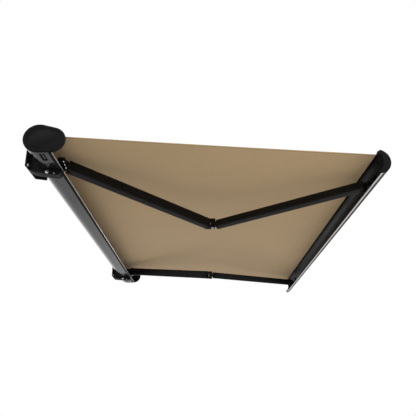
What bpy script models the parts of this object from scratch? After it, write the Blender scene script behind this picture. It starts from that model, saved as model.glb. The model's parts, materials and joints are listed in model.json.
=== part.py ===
"""Full-cassette folding-arm awning, drawn out, with its wall brackets.

The wall is the plane y = 0 and the awning comes out along -Y. X runs along the cassette, from left to
right for someone who faces the wall. The origin lies on the wall, halfway along the cassette and level
with the middle of its rear curve.
Sections across the awning are given as (out, up): the distance from the wall and the height.
"""

import math

import bmesh
import bpy
from mathutils import Matrix, Vector

# Clearances
GAP = 0.0003
RUNNING = 0.0004
ROUND_GAP = 0.0008

# Cassette: an oval around a rear and a front circle, open at the front
CASSETTE_LENGTH = 3.500
REAR_OUT = 0.150
REAR_RADIUS = 0.106
FRONT_OUT = 0.2375
FRONT_UP = -0.010
FRONT_RADIUS = 0.094
SHELL_WALL = 0.003
LIP_OUT = 0.232
CAP_PLATE = 0.014
CAP_OVERHANG = 0.0015
CAP_CHAMFER = 0.009
END_PLATE = 0.006
END_PLATE_REACH = 0.205

# Trim under the cassette's front edge
TRIM_WIDTH = 0.0175
TRIM_HEIGHT = 0.009
SEAL_WIDTH = 0.008
SEAL_DROP = 0.006
WINDOW_LENGTH = 0.090
WINDOW_WIDTH = 0.036
WINDOW_END = 0.015
WINDOW_OUT = 0.172
WINDOW_PLATE = 0.0015

# Wall brackets
BRACKET_X = 1.482
PLATE_LENGTH = 0.200
PLATE_THICK = 0.012
PLATE_TOP = 0.075
PLATE_BOTTOM = -0.108
CRADLE_SET = 0.045
CRADLE_WIDTH = 0.060
CRADLE_TOP = 0.060
CRADLE_FRONT = 0.246
CRADLE_NOSE = 0.038
CRADLE_DEPTH = 0.156
RIB_WIDTH = 0.014
RIB_OUT = 0.090
CRADLE_BOLT_OUT = 0.144
CRADLE_BOLT_UP = -0.131
CLAMP_SCREW_OUT = 0.195
CLAMP_SCREW_UP = -0.142
WALL_BOLT_IN = 0.0225
WALL_BOLT_UP = -0.0895
BOLT_RADIUS = 0.0045
BOLT_LENGTH = 0.030
WALL_BOLT_LENGTH = 0.0115
CRADLE_HEAD = 0.0130
CLAMP_HEAD = 0.0070
WALL_HEAD = 0.0120
HEAD_HEIGHT = 0.0060

# Roller
ROLLER_OUT = 0.125
ROLLER_UP = 0.017
ROLLER_RADIUS = 0.039
ROLLER_WALL = 0.002
ROLL_THICK = 0.0024
FABRIC_WIDTH = 3.400
ROLLER_OVERHANG = 0.008
MOTOR_RADIUS = 0.025
MOTOR_LENGTH = 0.620
MOTOR_HEAD_RADIUS = 0.030
MOTOR_COLLAR = 0.016
CROWN_LENGTH = 0.030
PLUG_LENGTH = 0.045
STUB_RADIUS = 0.008
STUB_WALL = 0.009
PLUG_FACE_GAP = 0.002

# Motion: the front bar travels straight out and down this slope
SLOPE = math.radians(4.0)
REACH = 2.190
DROOP = math.radians(13.0)

# Arms
ARM_X = 1.445
SHOULDER_OUT = 0.228
SHOULDER_UP = -0.026
ARM_LENGTH = 1.285
FOLD_OFFSET = 0.028
UPPER_WIDTH = 0.056
UPPER_HEIGHT = 0.092
FORE_WIDTH = 0.052
FORE_HEIGHT = 0.074
TUBE_WALL = 0.0025
TUBE_CORNER = 0.009
SOCKET_LENGTH = 0.045
SHOULDER_EYE = 0.024
SHOULDER_EYE_HEIGHT = 0.043
SHOULDER_EAR = 0.026
SHOULDER_EAR_THICK = 0.010
SHOULDER_CASTING = 0.075
ELBOW_EYE = 0.020
ELBOW_EYE_HEIGHT = 0.038
ELBOW_SETBACK = 0.026
ELBOW_CASTING = 0.052
FRONT_EYE = 0.018
FRONT_EYE_HEIGHT = 0.031
FRONT_EAR_THICK = 0.005
FRONT_CASTING = 0.065
PIN_RADIUS = 0.008
PIN_HEAD_RADIUS = 0.0115
PIN_HEAD = 0.003
SPRING_RADIUS = 0.017
SPRING_LENGTH = 0.560
CABLE_RADIUS = 0.003
HOOK_RADIUS = 0.004
HOOK_SEAT = 0.012

# Shoulder fork and the mount that it turns in
FORK_WEB_FRONT = 0.030
FORK_WING_END = 0.108
FORK_WING_FRONT = 0.042
FORK_WING_BACK = 0.010
FORK_WING_START = 0.020
FORK_WING_DROP = 0.051
WING_BOLTS = (0.030, 0.062, 0.094)
WING_BOLT_AHEAD = 0.030
WING_BOLT_RADIUS = 0.0065
WING_BOLT_HEIGHT = 0.0045
SPIGOT_RADIUS = 0.009
SPIGOT_BEYOND = 0.002
RING_RADIUS = 0.0125
RING_HEIGHT = 0.0055
MOUNT_LENGTH = 0.130
UPRIGHT_BACK = 0.165
UPRIGHT_THICK = 0.0195
MOUNT_FOOT_BACK = 0.150
MOUNT_FOOT_FRONT = 0.225
MOUNT_FOOT = 0.010
BOSS_RADIUS = 0.018

# Front bar: a crescent that closes on the cassette's front circle
BAR_WALL = 0.003
BAR_TOP_ANGLE = 72.0
BAR_BOTTOM_ANGLE = -68.0
BAR_END_GAP = 0.001
BAR_CAP = 0.007
BAR_CAP_DEPTH = 0.050
BAR_CAP_CHAMFER = 0.002
BAR_CAP_INNER = 0.086
KEDER_BLOCK = 0.012
KEDER_RADIUS = 0.003
KEDER_DEPTH = 0.0095
STRIP_WIDTH = 0.023
STRIP_THICK = 0.003
STRIP_BACK = 0.0145
BAR_MOUNT_LENGTH = 0.080
BAR_MOUNT_AHEAD = 0.0303
BAR_WEB_RADIUS = 0.023
BAR_WEB_START = 0.023
BAR_WEB_THICK = 0.007
BAR_SPIGOT_RADIUS = 0.007
BAR_SPIGOT_LENGTH = 0.006

# Fabric
FABRIC_THICK = 0.0012

# Facets
ROUND = 32
SMALL_ROUND = 20
ARC_STEP = 9.0

# Worked out from the sizes above
HALF_LENGTH = CASSETTE_LENGTH / 2
ROLLER_START = -FABRIC_WIDTH / 2 - ROLLER_OVERHANG
ROLLER_END = FABRIC_WIDTH / 2 + ROLLER_OVERHANG
TANGENT_TILT = math.atan2(-FRONT_UP, FRONT_OUT - REAR_OUT)
TANGENT_SPREAD = math.asin((REAR_RADIUS - FRONT_RADIUS) / math.hypot(FRONT_OUT - REAR_OUT, FRONT_UP))
TOP_TANGENT = 90.0 - math.degrees(TANGENT_TILT + TANGENT_SPREAD)
BOTTOM_TANGENT = -90.0 - math.degrees(TANGENT_TILT - TANGENT_SPREAD)
TRAVEL = REACH / math.cos(SLOPE)
DROP = REACH * math.tan(SLOPE)
BAR_OUT = FRONT_OUT + REACH
BAR_UP = FRONT_UP - DROP
UPRIGHT_FRONT = UPRIGHT_BACK + UPRIGHT_THICK
FORK_WEB_BACK = (SHOULDER_OUT - UPRIGHT_FRONT) / math.cos(SLOPE) - RUNNING
RING_START = (SHOULDER_OUT - UPRIGHT_BACK) / math.cos(SLOPE) + RUNNING
RING_END = RING_START + RING_HEIGHT
CLOSED_SPAN = 2 * FOLD_OFFSET
OPEN_SPAN = CLOSED_SPAN + TRAVEL
TUBE_REACH = math.sqrt(ARM_LENGTH**2 - FOLD_OFFSET**2)
REST_ANGLE = math.acos(OPEN_SPAN / 2 / ARM_LENGTH)
TUBE_ANGLE = REST_ANGLE + math.asin(FOLD_OFFSET / ARM_LENGTH)
ALONG = Vector((0, -math.cos(SLOPE), -math.sin(SLOPE)))
ABOVE = Vector((0, -math.sin(SLOPE), math.cos(SLOPE)))
SIDES = (("left", -1), ("right", 1))


def clear_scene():
    for obj in list(bpy.data.objects):
        bpy.data.objects.remove(obj, do_unlink=True)


def material(name, colour, roughness, metallic):
    """A Principled material, made once for each name."""
    made = bpy.data.materials.get(name)
    if made:
        return made
    made = bpy.data.materials.new(name)
    made.use_nodes = True
    shader = made.node_tree.nodes["Principled BSDF"]
    shader.inputs["Base Color"].default_value = (*colour, 1.0)
    shader.inputs["Roughness"].default_value = roughness
    shader.inputs["Metallic"].default_value = metallic
    made.diffuse_color = (*colour, 1.0)
    return made


def anthracite():
    return material("anthracite_coat", (0.018, 0.018, 0.019), 0.45, 0.0)


def grey_metal():
    return material("grey_aluminium", (0.16, 0.16, 0.165), 0.35, 0.9)


def black_cast():
    return material("black_casting", (0.008, 0.008, 0.009), 0.4, 0.0)


def bright_steel():
    return material("bright_steel", (0.72, 0.72, 0.73), 0.22, 1.0)


def bare_steel():
    return material("galvanised_steel", (0.42, 0.43, 0.44), 0.4, 1.0)


def pale_trim():
    return material("pale_aluminium", (0.62, 0.62, 0.63), 0.3, 0.9)


def black_rubber():
    return material("black_rubber", (0.01, 0.01, 0.01), 0.8, 0.0)


def grey_plastic():
    return material("grey_plastic", (0.12, 0.12, 0.125), 0.5, 0.0)


def tan_cloth():
    return material("tan_cloth", (0.30, 0.215, 0.125), 0.9, 0.0)


def group(name, matrix, parent=None):
    """An empty that carries the pieces of one moving group, with its axes on the joint."""
    empty = bpy.data.objects.new(name, None)
    empty.empty_display_size = 0.05
    bpy.context.scene.collection.objects.link(empty)
    empty.parent = parent
    empty.matrix_world = matrix
    return empty


def frame(origin, along, across):
    """A turning matrix with its X and Y axes along these two directions."""
    x_axis = Vector(along).normalized()
    z_axis = x_axis.cross(Vector(across)).normalized()
    y_axis = z_axis.cross(x_axis)
    turned = Matrix((x_axis, y_axis, z_axis)).transposed().to_4x4()
    return Matrix.Translation(Vector(origin)) @ turned


def add(name, bm, look=None, carrier=None, place=None, round_under=35.0):
    """Makes an object of this mesh, on its carrier. A helper with no look is hidden from the render."""
    bmesh.ops.recalc_face_normals(bm, faces=bm.faces)
    mesh = bpy.data.meshes.new(name)
    bm.to_mesh(mesh)
    bm.free()
    mesh.shade_smooth()
    mesh.set_sharp_from_angle(angle=math.radians(round_under))
    obj = bpy.data.objects.new(name, mesh)
    bpy.context.scene.collection.objects.link(obj)
    if look:
        mesh.materials.append(look)
    else:
        obj.hide_render = True
        obj.display_type = "WIRE"
    obj.parent = carrier
    obj.matrix_local = place or Matrix.Identity(4)
    return obj


def combine(obj, helper, operation):
    step = obj.modifiers.new(helper.name, "BOOLEAN")
    step.operation = operation
    step.solver = "EXACT"
    step.object = helper


def arc(centre, radius, first, last, step=ARC_STEP):
    """Points on an arc, from the first angle to the last, in degrees."""
    count = max(2, round(abs(last - first) / step))
    angles = [math.radians(first + (last - first) * i / count) for i in range(count + 1)]
    return [(centre[0] + radius * math.cos(a), centre[1] + radius * math.sin(a)) for a in angles]


def prism(points, low, high, lift):
    """An outline given as (a, b), extruded from low to high. lift turns (a, b, c) into a point."""
    bm = bmesh.new()
    base = bm.faces.new([bm.verts.new(lift(a, b, low)) for a, b in points])
    moved = bmesh.ops.extrude_face_region(bm, geom=[base])["geom"]
    shift = Vector(lift(0, 0, high)) - Vector(lift(0, 0, low))
    bmesh.ops.translate(bm, vec=shift, verts=[v for v in moved if isinstance(v, bmesh.types.BMVert)])
    return bm


def across(out, up, x):
    """A section point (out, up) at x."""
    return (x, -out, up)


def flat(a, b, height):
    """An outline point in a group's own XY plane."""
    return (a, b, height)


def endwise(a, b, height):
    """An outline point in a group's own YZ plane."""
    return (height, a, b)


def section(name, points, x_low, x_high, look=None):
    """A section across the awning, extruded from x_low to x_high, with its origin at x_low."""
    bm = prism(points, 0.0, x_high - x_low, across)
    return add(name, bm, look, place=Matrix.Translation((x_low, 0, 0)))


def rounded_box(width, height, corner):
    """The outline of a box with round corners, centred on (0, 0)."""
    a, b = width / 2 - corner, height / 2 - corner
    points = []
    for x, y, first in ((a, b, 0), (-a, b, 90), (-a, -b, 180), (a, -b, 270)):
        points += arc((x, y), corner, first, first + 90, 30.0)
    return points


def skin(loops, closed=False):
    """A skin over a row of loops of points, capped at both ends or, if closed, joined end to start."""
    bm = bmesh.new()
    rings = [[bm.verts.new(p) for p in loop] for loop in loops]
    pairs = list(zip(rings, rings[1:]))
    if closed:
        pairs.append((rings[-1], rings[0]))
    else:
        for ring in (rings[0], rings[-1]):
            if len(ring) > 2:
                bm.faces.new(ring)
    for low, high in pairs:
        for i in range(max(len(low), len(high))):
            a, b = low[i % len(low)], low[(i + 1) % len(low)]
            c, d = high[(i + 1) % len(high)], high[i % len(high)]
            corners = list(dict.fromkeys((a, b, c, d)))
            bm.faces.new(corners)
    return bm


def turned(profile, facets=ROUND, closed=False):
    """A turned piece along Z. The profile lists (along, radius)."""
    loops = []
    for along, radius in profile:
        if radius == 0:
            loops.append([(0, 0, along)])
        else:
            angles = [2 * math.pi * i / facets for i in range(facets)]
            loops.append([(radius * math.cos(a), radius * math.sin(a), along) for a in angles])
    return skin(loops, closed)


def rod(low, high, radius, facets=ROUND):
    return turned([(low, radius), (high, radius)], facets)


def along_x(x, out, up):
    """Places a turned piece with its axis along +X."""
    return Matrix.Translation((x, -out, up)) @ Matrix.Rotation(math.radians(90), 4, "Y")


def hollow_tube(width, height, corner, wall, low, high):
    """A box tube with round corners along X."""
    outer = rounded_box(width, height, corner)
    inner = rounded_box(width - 2 * wall, height - 2 * wall, corner - wall)
    order = ((outer, low), (outer, high), (inner, high), (inner, low))
    return skin([[(x, a, b) for a, b in loop] for loop, x in order], closed=True)


def oval(offset, first, last):
    """The cassette's outline moved out by offset, for surface normals from first to last degrees.

    0 degrees points away from the wall and 90 up. The front circle runs from the bottom tangent to the
    top tangent, and the rear circle takes the rest of the turn.
    """
    points = []
    front_last = min(last, TOP_TANGENT)
    if first < front_last:
        points += arc((FRONT_OUT, FRONT_UP), FRONT_RADIUS + offset, first, front_last)
    rear_last = min(last, BOTTOM_TANGENT + 360)
    if last > TOP_TANGENT:
        rear_first = max(first, TOP_TANGENT)
        points += arc((REAR_OUT, 0), REAR_RADIUS + offset, rear_first, rear_last)
    return points


def underside(out, offset):
    """The point at this distance from the wall on the cassette's flat underside."""
    low = math.radians(BOTTOM_TANGENT)
    rear = (REAR_OUT + (REAR_RADIUS + offset) * math.cos(low), (REAR_RADIUS + offset) * math.sin(low))
    slope = -1 / math.tan(low)
    return (out, rear[1] + (out - rear[0]) * slope)


def top_front(offset):
    """The point where the flat top meets the front circle."""
    return arc((FRONT_OUT, FRONT_UP), FRONT_RADIUS + offset, TOP_TANGENT, TOP_TANGENT + 1)[0]


def housing_half(offset):
    """One skin of the housing, from its top front edge round the back to the lower lip."""
    points = [top_front(offset)]
    points += oval(offset, TOP_TANGENT, BOTTOM_TANGENT + 360)
    points.append(underside(LIP_OUT, offset))
    return points


def cassette_housing():
    outline = housing_half(0) + housing_half(-SHELL_WALL)[::-1]
    housing = section("cassette_housing", outline, -HALF_LENGTH, HALF_LENGTH, grey_metal())
    low = WINDOW_OUT - WINDOW_WIDTH / 2
    high = WINDOW_OUT + WINDOW_WIDTH / 2
    floor = underside(WINDOW_OUT, 0)[1]
    box = [(low, floor - 0.01), (high, floor - 0.01), (high, floor + 0.012), (low, floor + 0.012)]
    start = -HALF_LENGTH + WINDOW_END
    combine(housing, section("window_cutter", box, start, start + WINDOW_LENGTH), "DIFFERENCE")


def setting_window_plate():
    """The slotted plate over the drive's setting screws, let into the housing's underside."""
    low = WINDOW_OUT - WINDOW_WIDTH / 2 + GAP
    high = WINDOW_OUT + WINDOW_WIDTH / 2 - GAP
    lowest = [underside(out, -SHELL_WALL) for out in (low, high)]
    highest = [(out, up + WINDOW_PLATE) for out, up in lowest[::-1]]
    start = -HALF_LENGTH + WINDOW_END
    end = start + WINDOW_LENGTH
    plate = section("setting_window_plate", lowest + highest, start + GAP, end - GAP, black_cast())
    middle = start + WINDOW_LENGTH / 2
    half = WINDOW_LENGTH / 2 - 0.022
    radius = WINDOW_WIDTH / 2 - 0.010
    slot = arc((half, 0), radius, -90, 90, 22.5) + arc((-half, 0), radius, 90, 270, 22.5)
    depth = abs(lowest[0][1]) - 0.01, abs(lowest[0][1]) + 0.01
    place = Matrix.Translation((middle, -WINDOW_OUT, 0))
    cutter = add("slot_cutter", prism(slot, -depth[1], -depth[0], flat), place=place)
    combine(plate, cutter, "DIFFERENCE")


def end_caps():
    for side, sign in SIDES:
        outline = oval(CAP_OVERHANG, BOTTOM_TANGENT, BOTTOM_TANGENT + 360)
        bm = prism(outline, 0.0, sign * CAP_PLATE, across)
        outer = [e for e in bm.edges if all(abs(v.co.x - sign * CAP_PLATE) < 1e-6 for v in e.verts)]
        bmesh.ops.bevel(bm, geom=outer, offset=CAP_CHAMFER, segments=2, profile=0.5, affect="EDGES")
        place = Matrix.Translation((sign * (HALF_LENGTH + GAP), 0, 0))
        add(f"{side}_end_cap", bm, anthracite(), place=place, round_under=25.0)


def end_plates():
    """The cast plates inside the ends, which carry the drive on the left and the idler on the right."""
    inset = -SHELL_WALL - GAP
    points = oval(inset, TOP_TANGENT + 8, BOTTOM_TANGENT + 360)
    points.append(underside(END_PLATE_REACH, inset))
    points.append((END_PLATE_REACH, ROLLER_UP + ROLLER_RADIUS))
    for side, sign in SIDES:
        outer = sign * (HALF_LENGTH - GAP)
        inner = outer - sign * END_PLATE
        plate = section(f"{side}_end_plate", points, min(outer, inner), max(outer, inner), bare_steel())
        if sign > 0:
            axis = along_x(0, ROLLER_OUT, ROLLER_UP)
            boss_end = ROLLER_END + PLUG_FACE_GAP
            boss = rod(boss_end, outer - 0.001, STUB_RADIUS + STUB_WALL)
            combine(plate, add("boss_helper", boss, place=axis), "UNION")
            hole = rod(boss_end - 0.01, outer + 0.01, STUB_RADIUS + RUNNING)
            combine(plate, add("stub_cutter", hole, place=axis), "DIFFERENCE")


def lip_trims():
    """The pale strip on the front edge of the underside, and the brush seal behind it."""
    _, low = underside(LIP_OUT, 0)
    back = LIP_OUT + GAP
    corner = TRIM_HEIGHT / 3
    outline = [(back, low - corner), (back, low + TRIM_HEIGHT - corner)]
    outline += [(back + TRIM_WIDTH / 2, low + TRIM_HEIGHT - corner)]
    outline += [(back + TRIM_WIDTH / 2, low + corner), (back + TRIM_WIDTH - corner, low + corner)]
    outline += arc((back + TRIM_WIDTH - corner, low), corner, 90, -90, 30.0)[1:]
    section("lower_lip_trim", outline, -HALF_LENGTH, HALF_LENGTH, pale_trim())
    seal = [underside(LIP_OUT - SEAL_WIDTH, GAP), underside(LIP_OUT, GAP)]
    seal = [(out, up - SEAL_DROP) for out, up in seal] + seal[::-1]
    section("lip_brush_seal", seal, -HALF_LENGTH, HALF_LENGTH, black_rubber())


def cradle_outline():
    """The bracket's arm, from the wall under the cassette to its lip."""
    back = 180.0 - math.degrees(math.asin(CRADLE_TOP / (REAR_RADIUS + ROUND_GAP)))
    points = [(0, CRADLE_TOP)] + oval(ROUND_GAP, back, BOTTOM_TANGENT + 360)
    step_out = LIP_OUT - SEAL_WIDTH - 0.001
    under_trim = underside(LIP_OUT, 0)[1] - SEAL_DROP - 0.0015
    points += [underside(step_out, ROUND_GAP), (step_out, under_trim), (CRADLE_FRONT, under_trim)]
    nose = (CRADLE_FRONT - CRADLE_NOSE, -CRADLE_DEPTH + CRADLE_NOSE)
    points += arc(nose, CRADLE_NOSE, 0, -104, 13.0)
    points.append((0.050, PLATE_BOTTOM - 0.026))
    points.append((0, PLATE_BOTTOM))
    return points


def rib_outline():
    """The short rib at the other end of the wall plate."""
    top = CRADLE_TOP - 0.012
    back = 180.0 - math.degrees(math.asin(top / (REAR_RADIUS + ROUND_GAP)))
    low = 180.0 + math.degrees(math.acos((REAR_OUT - RIB_OUT) / (REAR_RADIUS + ROUND_GAP)))
    points = [(0, top)] + oval(ROUND_GAP, back, low)
    return points + [(RIB_OUT, PLATE_BOTTOM - 0.012), (0, PLATE_BOTTOM)]


def bolt(name, head, length, place, height=HEAD_HEIGHT):
    """A round-headed bolt. Its head stands on the face at 0 and its shank runs to -length."""
    crown = head - height * 0.35
    profile = [(-length, BOLT_RADIUS), (GAP, BOLT_RADIUS), (GAP, head), (height * 0.6, head), (height, crown)]
    add(name, turned(profile, SMALL_ROUND), bright_steel(), place=place)


def bolt_hole(obj, length, place):
    hole = rod(-length - 0.001, 0.01, BOLT_RADIUS + GAP, SMALL_ROUND)
    combine(obj, add(f"{obj.name}_hole", hole, place=place), "DIFFERENCE")


def wall_brackets():
    """Two like castings: a wall plate, a cradle under the cassette and a short rib."""
    for side, sign in SIDES:
        left = sign * BRACKET_X - PLATE_LENGTH / 2
        plate = [(0, PLATE_BOTTOM), (PLATE_THICK, PLATE_BOTTOM), (PLATE_THICK, PLATE_TOP), (0, PLATE_TOP)]
        bracket = section(f"{side}_wall_bracket", plate, left, left + PLATE_LENGTH, black_cast())
        face = left + CRADLE_SET
        cradle = section(f"{side}_cradle", cradle_outline(), face, face + CRADLE_WIDTH)
        combine(bracket, cradle, "UNION")
        rib_end = left + PLATE_LENGTH + 0.001
        combine(bracket, section(f"{side}_rib", rib_outline(), rib_end - RIB_WIDTH, rib_end), "UNION")
        sideways = Matrix.Rotation(math.radians(-90), 4, "Y")
        wanted = (
            ("cradle_bolt", CRADLE_HEAD, BOLT_LENGTH, (face, -CRADLE_BOLT_OUT, CRADLE_BOLT_UP), sideways),
            ("clamp_screw", CLAMP_HEAD, BOLT_LENGTH, (face, -CLAMP_SCREW_OUT, CLAMP_SCREW_UP), sideways),
            (
                "wall_bolt",
                WALL_HEAD,
                WALL_BOLT_LENGTH,
                (left + WALL_BOLT_IN, -PLATE_THICK, WALL_BOLT_UP),
                Matrix.Rotation(math.radians(90), 4, "X"),
            ),
        )
        for name, head, length, point, turn in wanted:
            place = Matrix.Translation(point) @ turn
            bolt_hole(bracket, length, place)
            bolt(f"{side}_{name}", head, length, place)


def roller():
    """The winding tube with the turns left on it, its idler plug and its driven crown."""
    place = along_x(0, ROLLER_OUT, ROLLER_UP)
    inner = ROLLER_RADIUS - ROLLER_WALL
    ends = [(ROLLER_START, ROLLER_RADIUS), (ROLLER_END, ROLLER_RADIUS)]
    ends += [(ROLLER_END, inner), (ROLLER_START, inner)]
    carrier = group("roller_axis", place)
    add("roller_tube", turned(ends, ROUND, closed=True), bare_steel(), carrier)
    low, high = ROLLER_RADIUS + GAP, ROLLER_RADIUS + GAP + ROLL_THICK
    half = FABRIC_WIDTH / 2
    turns = ((-half, high), (half, high), (half, low), (-half, low))
    add("wound_fabric", turned(turns, ROUND, closed=True), tan_cloth(), carrier)
    seat = inner - GAP
    stub_end = HALF_LENGTH - GAP - END_PLATE / 2
    plug = [(ROLLER_END - PLUG_LENGTH, seat), (ROLLER_END, seat)]
    plug += [(ROLLER_END, STUB_RADIUS), (stub_end, STUB_RADIUS)]
    add("idler_plug", turned(plug), grey_plastic(), carrier)
    crown_start = -HALF_LENGTH + END_PLATE + MOTOR_LENGTH + GAP
    crown = [(crown_start, seat), (crown_start + CROWN_LENGTH, seat)]
    add("drive_crown", turned(crown), grey_plastic(), carrier)


def tubular_motor():
    """The drive inside the roller's left end. Its collar carries the tube."""
    start = -HALF_LENGTH + END_PLATE + 2 * GAP
    collar_end = ROLLER_START + MOTOR_COLLAR
    collar = ROLLER_RADIUS - ROLLER_WALL - RUNNING
    profile = [
        (start, MOTOR_HEAD_RADIUS),
        (ROLLER_START - 0.004, MOTOR_HEAD_RADIUS),
        (ROLLER_START - 0.004, collar),
        (collar_end, collar),
        (collar_end, MOTOR_RADIUS),
        (-HALF_LENGTH + END_PLATE + MOTOR_LENGTH, MOTOR_RADIUS),
    ]
    add("tubular_motor", turned(profile), grey_plastic(), place=along_x(0, ROLLER_OUT, ROLLER_UP))


def keder_point():
    """The middle of the front bar's fabric groove, in (out, up)."""
    angle = math.radians(BAR_TOP_ANGLE)
    radius = FRONT_RADIUS - KEDER_DEPTH
    return (BAR_OUT + radius * math.cos(angle), BAR_UP + radius * math.sin(angle))


def fabric_cover():
    """The tensioned sheet, from the top of the roll to the groove in the front bar."""
    keder = keder_point()
    roll = ROLLER_RADIUS + 2 * GAP + ROLL_THICK
    fall = math.atan2(ROLLER_UP + roll - keder[1], keder[0] - ROLLER_OUT)
    start = (ROLLER_OUT + roll * math.sin(fall), ROLLER_UP + roll * math.cos(fall))
    end = (keder[0] - KEDER_BLOCK / 2 - 2 * GAP, keder[1])
    low = [start, end]
    high = [(end[0], end[1] + FABRIC_THICK), (start[0], start[1] + FABRIC_THICK)]
    section("fabric_cover", low + high, -FABRIC_WIDTH / 2, FABRIC_WIDTH / 2, tan_cloth())


def shoulder_mount(side, sign):
    """The cast foot inside the cassette that holds the shoulder fork's spigot."""
    inset = -SHELL_WALL - GAP
    foot_back = underside(MOUNT_FOOT_BACK, inset)
    foot_front = underside(MOUNT_FOOT_FRONT, inset)
    top = spigot_up(UPRIGHT_FRONT) + BOSS_RADIUS
    foot_top = foot_back[1] + MOUNT_FOOT
    outline = [
        foot_back,
        foot_front,
        (foot_front[0], foot_front[1] + MOUNT_FOOT * 0.6),
        leaning(UPRIGHT_FRONT, foot_top),
        leaning(UPRIGHT_FRONT, top),
        leaning(UPRIGHT_BACK, top),
        leaning(UPRIGHT_BACK, foot_top),
        (foot_back[0], foot_top),
    ]
    middle = sign * ARM_X
    mount = section(
        f"{side}_shoulder_mount", outline, middle - MOUNT_LENGTH / 2, middle + MOUNT_LENGTH / 2, black_cast()
    )
    hole = rod(-0.11, 0.0, SPIGOT_RADIUS + GAP, SMALL_ROUND)
    place = Matrix.Translation(shoulder_point(sign)) @ along_slope()
    combine(mount, add(f"{side}_spigot_cutter", hole, place=place), "DIFFERENCE")


def spigot_up(out):
    """The height of the shoulder's turning axis at this distance from the wall."""
    return SHOULDER_UP + (SHOULDER_OUT - out) * math.tan(SLOPE)


def leaning(out, up):
    """A point at this height on the plane square to the turning axis that crosses it at out."""
    return (out + (up - spigot_up(out)) * math.tan(SLOPE), up)


def shoulder_point(sign):
    return Vector((sign * ARM_X, -SHOULDER_OUT, SHOULDER_UP))


def along_slope():
    """Turns a piece made along +Z to run along the slope."""
    return Vector((0, 0, 1)).rotation_difference(ALONG).to_matrix().to_4x4()


def mirrored(points, hand):
    return [(a, b * hand) for a, b in points]


def shoulder_fork(side, hand, carrier):
    """Two ears round the upper arm's eye, a web behind them, a wing with three screws, and a spigot."""
    half = SHOULDER_EYE_HEIGHT / 2 + RUNNING
    top = half + SHOULDER_EAR_THICK
    ear = arc((0, 0), SHOULDER_EAR, -90, 90, 15.0)
    ear += [(-FORK_WEB_BACK, SHOULDER_EAR), (-FORK_WEB_BACK, -SHOULDER_EAR)]
    fork = add(f"{side}_shoulder_fork", prism(mirrored(ear, hand), half, top, flat), black_cast(), carrier)
    lower = add(f"{side}_lower_ear", prism(mirrored(ear, hand), -top, -half, flat), carrier=carrier)
    combine(fork, lower, "UNION")
    web = [(-FORK_WEB_BACK, -SHOULDER_EAR), (-FORK_WEB_FRONT, -SHOULDER_EAR)]
    web += [(-FORK_WEB_FRONT, SHOULDER_EAR), (-FORK_WEB_BACK, SHOULDER_EAR)]
    inside = half + SHOULDER_EAR_THICK / 2
    web = prism(mirrored(web, hand), -inside, inside, flat)
    combine(fork, add(f"{side}_web", web, carrier=carrier), "UNION")
    corner = 0.010
    wing = arc((FORK_WING_FRONT - corner, -FORK_WING_END + corner), corner, 0, -90, 30.0)
    wing += arc((-FORK_WING_BACK + corner, -FORK_WING_END + corner), corner, -90, -180, 30.0)
    inner = -PIN_HEAD_RADIUS - 0.001
    wing += [(-FORK_WING_BACK, inner), (SHOULDER_EAR / 2, inner), (FORK_WING_FRONT, -FORK_WING_START)]
    wing = prism(mirrored(wing, hand), -FORK_WING_DROP, -half - 0.0005, flat)
    combine(fork, add(f"{side}_wing", wing, carrier=carrier), "UNION")
    for i, beside in enumerate(WING_BOLTS):
        place = Matrix.Translation((WING_BOLT_AHEAD, -beside * hand, 0))
        head = rod(-FORK_WING_DROP - WING_BOLT_HEIGHT, -half - 0.003, WING_BOLT_RADIUS, SMALL_ROUND)
        combine(fork, add(f"{side}_wing_screw_{i}", head, carrier=carrier, place=place), "UNION")
    back = Matrix.Rotation(math.radians(-90), 4, "Y")
    spigot = rod(FORK_WEB_FRONT + 0.002, RING_END + SPIGOT_BEYOND, SPIGOT_RADIUS, SMALL_ROUND)
    combine(fork, add(f"{side}_spigot", spigot, carrier=carrier, place=back), "UNION")
    bore = rod(-top - 0.01, top + 0.01, PIN_RADIUS + GAP, SMALL_ROUND)
    combine(fork, add(f"{side}_fork_bore", bore, carrier=carrier), "DIFFERENCE")
    low = SPIGOT_RADIUS + GAP
    ring = [(RING_START, RING_RADIUS), (RING_END, RING_RADIUS), (RING_END, low), (RING_START, low)]
    add(f"{side}_spigot_ring", turned(ring, SMALL_ROUND, closed=True), bare_steel(), carrier, back)


def pivot_pin(name, half_height, carrier, place=None):
    """A headed pin through a fork, along the group's Z."""
    seat = half_height + GAP
    profile = [
        (-seat - PIN_HEAD, PIN_HEAD_RADIUS),
        (-seat, PIN_HEAD_RADIUS),
        (-seat, PIN_RADIUS),
        (seat, PIN_RADIUS),
        (seat, PIN_HEAD_RADIUS),
        (seat + PIN_HEAD, PIN_HEAD_RADIUS),
    ]
    add(name, turned(profile, SMALL_ROUND), bare_steel(), carrier, place)


def flip(direction):
    """Mirrors outlines that are drawn towards +X for a piece that runs towards -X."""
    return lambda points: [(a * direction, b) for a, b in points]


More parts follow.
